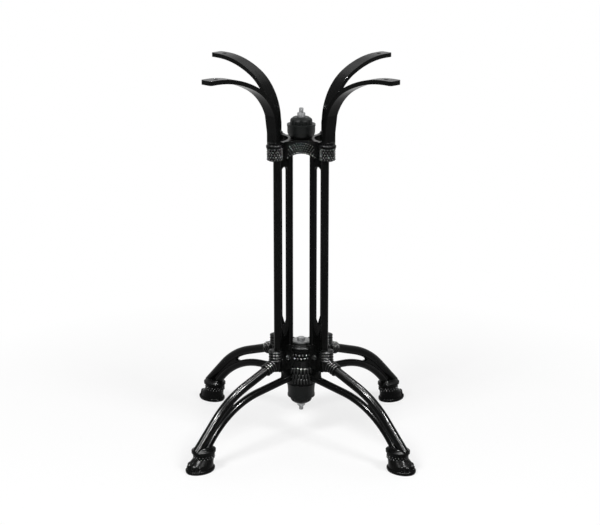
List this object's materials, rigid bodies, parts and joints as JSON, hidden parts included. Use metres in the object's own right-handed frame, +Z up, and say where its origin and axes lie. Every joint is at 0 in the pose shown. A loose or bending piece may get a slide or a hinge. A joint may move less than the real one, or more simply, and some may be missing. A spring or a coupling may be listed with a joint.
{
  "type": "four star table base",
  "caption": "Cast table base with strap arms, open twin-bar columns around a central axis, wishbone legs on hoof feet, and finials that clamp the castings at two hubs.",
  "frame": {"origin": "on the floor, on the vertical axis between the columns", "axes": "+Z up, the castings stand in the vertical planes at 45 degrees to X and Y, -Y is the front"},
  "size_m": [0.4232, 0.4232, 0.72],
  "materials": {
    "casting": "black gloss paint over the cast skin",
    "finial": "black gloss paint over the cast skin",
    "fastener": "bright zinc plating",
    "clamp_plate": "dull zinc plating"
  },
  "bodies": {
    "root": {"side_frame_front_right": "casting", "side_frame_back_right": "casting", "side_frame_back_left": "casting", "side_frame_front_left": "casting", "upper_finial": "finial", "upper_clamp_bolt": "fastener", "upper_nut": "fastener", "upper_nut_washer": "fastener", "upper_clamp_plate": "clamp_plate", "lower_finial": "finial", "lower_clamp_bolt": "fastener", "lower_nut": "fastener", "lower_nut_washer": "fastener", "lower_clamp_plate": "clamp_plate"}
  },
  "joints": []
}
